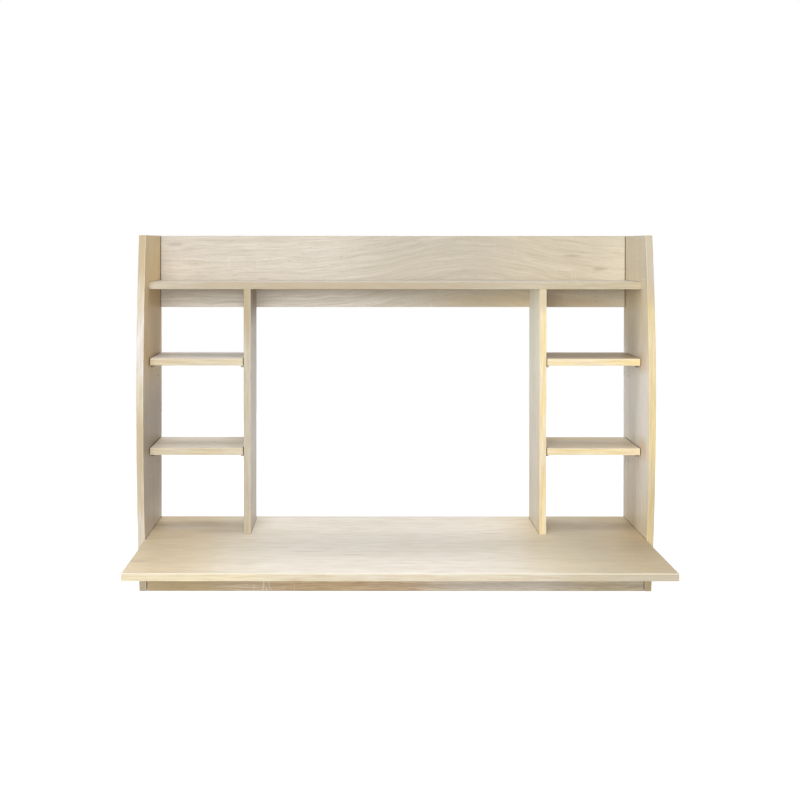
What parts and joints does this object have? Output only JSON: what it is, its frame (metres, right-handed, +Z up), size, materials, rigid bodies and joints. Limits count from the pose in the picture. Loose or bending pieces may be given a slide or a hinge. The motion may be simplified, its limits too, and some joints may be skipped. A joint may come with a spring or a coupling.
{
  "type": "wall-mounted desk with shelves",
  "caption": "Wall-hung desk: fixed desktop between bow-fronted side panels, top shelf on a back rail, upright dividers and small adjustable side shelves on pins.",
  "frame": {"origin": "on the wall plane at mid-width, at the height of the wall screws that the hanger plates hook over", "axes": "+Z up, +Y towards the wall (the front faces -Y), +X to the right seen from the front"},
  "size_m": [1.1, 0.48, 0.765],
  "materials": {
    "oak_decor_board": "melamine-faced particleboard in pale oak decor, satin",
    "oak_decor_edge_band": "plastic edge band printed in pale oak decor, satin",
    "nickel_plated_steel": "nickel plated, satin",
    "die_cast_zinc": "die-cast zinc, dull",
    "zinc_plated_steel": "zinc plated",
    "beech_dowel": "turned beech, bare"
  },
  "bodies": {
    "desk_frame": {"desktop": "oak_decor_board", "desktop_cam_bolts": "zinc_plated_steel", "desktop_cam_locks": "die_cast_zinc", "desktop_dowels": "beech_dowel", "desktop_edge_band": "oak_decor_edge_band", "hanger_plate_screws": "zinc_plated_steel", "hanger_plates": "zinc_plated_steel", "left_divider": "oak_decor_board", "left_divider_cam_bolts": "zinc_plated_steel", "left_divider_cam_locks": "die_cast_zinc", "left_divider_dowels": "beech_dowel", "left_divider_edge_band": "oak_decor_edge_band", "left_lower_shelf_pins": "nickel_plated_steel", "left_side_panel": "oak_decor_board", "left_side_panel_edge_band": "oak_decor_edge_band", "left_upper_shelf_pins": "nickel_plated_steel", "lower_back_rail": "oak_decor_board", "lower_back_rail_cam_bolts": "zinc_plated_steel", "lower_back_rail_cam_locks": "die_cast_zinc", "lower_back_rail_dowels": "beech_dowel", "lower_back_rail_edge_band": "oak_decor_edge_band", "lower_front_rail": "oak_decor_board", "lower_front_rail_cam_bolts": "zinc_plated_steel", "lower_front_rail_cam_locks": "die_cast_zinc", "lower_front_rail_dowels": "beech_dowel", "lower_front_rail_edge_band": "oak_decor_edge_band", "right_divider": "oak_decor_board", "right_divider_cam_bolts": "zinc_plated_steel", "right_divider_cam_locks": "die_cast_zinc", "right_divider_dowels": "beech_dowel", "right_divider_edge_band": "oak_decor_edge_band", "right_lower_shelf_pins": "nickel_plated_steel", "right_side_panel": "oak_decor_board", "right_side_panel_edge_band": "oak_decor_edge_band", "right_upper_shelf_pins": "nickel_plated_steel", "top_shelf": "oak_decor_board", "top_shelf_cam_bolts": "zinc_plated_steel", "top_shelf_cam_locks": "die_cast_zinc", "top_shelf_dowels": "beech_dowel", "top_shelf_edge_band": "oak_decor_edge_band", "top_shelf_screws": "zinc_plated_steel", "upper_back_rail": "oak_decor_board", "upper_back_rail_cam_bolts": "zinc_plated_steel", "upper_back_rail_cam_locks": "die_cast_zinc", "upper_back_rail_dowels": "beech_dowel", "upper_back_rail_edge_band": "oak_decor_edge_band"},
    "left_upper_shelf_body": {"left_upper_shelf": "oak_decor_board", "left_upper_shelf_edge_band": "oak_decor_edge_band"},
    "left_lower_shelf_body": {"left_lower_shelf": "oak_decor_board", "left_lower_shelf_edge_band": "oak_decor_edge_band"},
    "right_upper_shelf_body": {"right_upper_shelf": "oak_decor_board", "right_upper_shelf_edge_band": "oak_decor_edge_band"},
    "right_lower_shelf_body": {"right_lower_shelf": "oak_decor_board", "right_lower_shelf_edge_band": "oak_decor_edge_band"}
  },
  "joints": [
    {"name": "left_upper_shelf_slide", "type": "slide", "parent": "desk_frame", "child": "left_upper_shelf_body", "axis": [0, -1, 0], "range_m": [0, 0.24]},
    {"name": "left_lower_shelf_slide", "type": "slide", "parent": "desk_frame", "child": "left_lower_shelf_body", "axis": [0, -1, 0], "range_m": [0, 0.24]},
    {"name": "right_upper_shelf_slide", "type": "slide", "parent": "desk_frame", "child": "right_upper_shelf_body", "axis": [0, -1, 0], "range_m": [0, 0.24]},
    {"name": "right_lower_shelf_slide", "type": "slide", "parent": "desk_frame", "child": "right_lower_shelf_body", "axis": [0, -1, 0], "range_m": [0, 0.24]}
  ]
}
